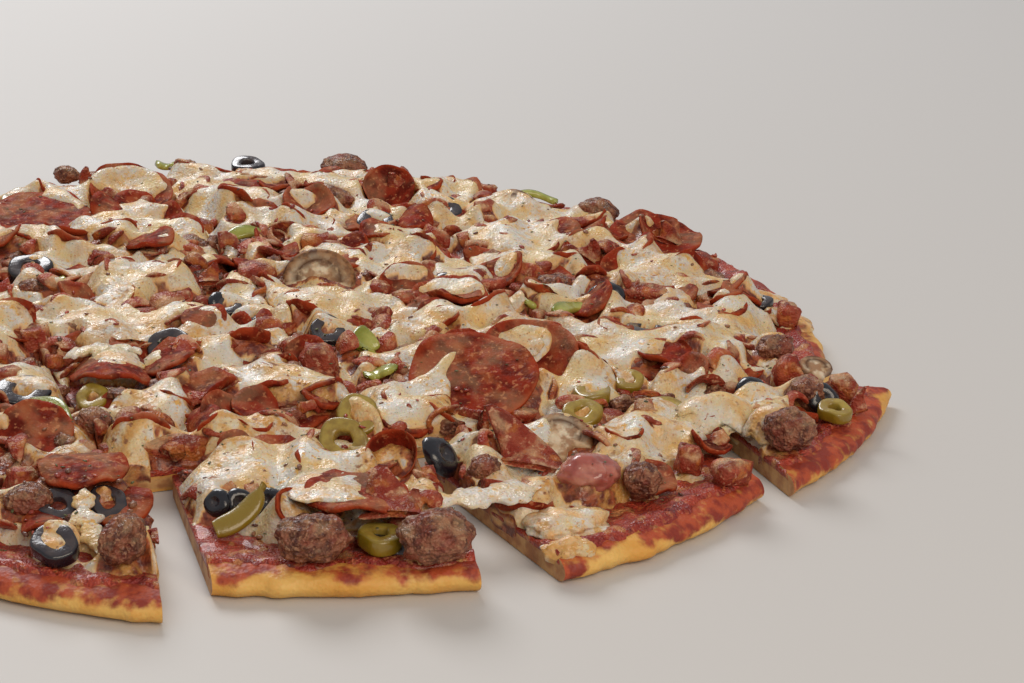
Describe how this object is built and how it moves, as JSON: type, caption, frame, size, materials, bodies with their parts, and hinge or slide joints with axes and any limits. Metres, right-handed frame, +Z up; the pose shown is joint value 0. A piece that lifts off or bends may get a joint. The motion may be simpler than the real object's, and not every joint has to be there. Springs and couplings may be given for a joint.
{
  "type": "thin-crust supreme pizza cut into square slices",
  "caption": "Round thin-crust pizza cut into square slices, topped with cheese, pepperoni, sausage, ham, olives, peppers and mushrooms.",
  "frame": {"origin": "middle of the round base on the surface it lies on", "axes": "+Z up through the toppings; the drawn-apart slices lie towards -Y"},
  "size_m": [0.4261, 0.429, 0.0282],
  "materials": {
    "crust": "baked dough",
    "sauce": "wet tomato sauce",
    "cheese": "melted cheese",
    "pepperoni": "oily cured meat",
    "sausage": "browned meat",
    "black_olive": "wet olive"
  },
  "bodies": {
    "root": {"crust_1_1": "crust", "crust_1_2": "crust", "crust_1_3": "crust", "crust_1_4": "crust", "crust_2_1": "crust", "crust_2_2": "crust", "crust_2_3": "crust", "crust_2_4": "crust", "crust_3_1": "crust", "crust_3_2": "crust", "crust_3_3": "crust", "crust_3_4": "crust", "crust_4_1": "crust", "crust_4_2": "crust", "crust_4_3": "crust", "crust_4_4": "crust", "sauce_1_1": "sauce", "sauce_1_2": "sauce", "sauce_1_3": "sauce", "sauce_1_4": "sauce", "sauce_2_1": "sauce", "sauce_2_2": "sauce", "sauce_2_3": "sauce", "sauce_2_4": "sauce", "sauce_3_1": "sauce", "sauce_3_2": "sauce", "sauce_3_3": "sauce", "sauce_3_4": "sauce", "sauce_4_1": "sauce", "sauce_4_2": "sauce", "sauce_4_3": "sauce", "sauce_4_4": "sauce", "cheese_1_1": "cheese", "cheese_1_2": "cheese", "cheese_1_3": "cheese", "cheese_1_4": "cheese", "cheese_2_1": "cheese", "cheese_2_2": "cheese", "cheese_2_3": "cheese", "cheese_2_4": "cheese", "cheese_3_1": "cheese", "cheese_3_2": "cheese", "cheese_3_3": "cheese", "cheese_3_4": "cheese", "cheese_4_1": "cheese", "cheese_4_2": "cheese", "cheese_4_3": "cheese", "cheese_4_4": "cheese", "pepperoni_centre": "pepperoni", "pepperoni_centre_right": "pepperoni", "pepperoni_arched": "pepperoni", "pepperoni_back_left": "pepperoni", "pepperoni_front_left": "pepperoni", "pepperoni_front": "pepperoni", "sausage_front": "sausage", "sausage_front_right": "sausage", "sausage_front_left": "sausage", "sausage_right": "sausage", "salami_glossy": "pepperoni", "olive_front_left": "black_olive"}
  },
  "joints": []
}
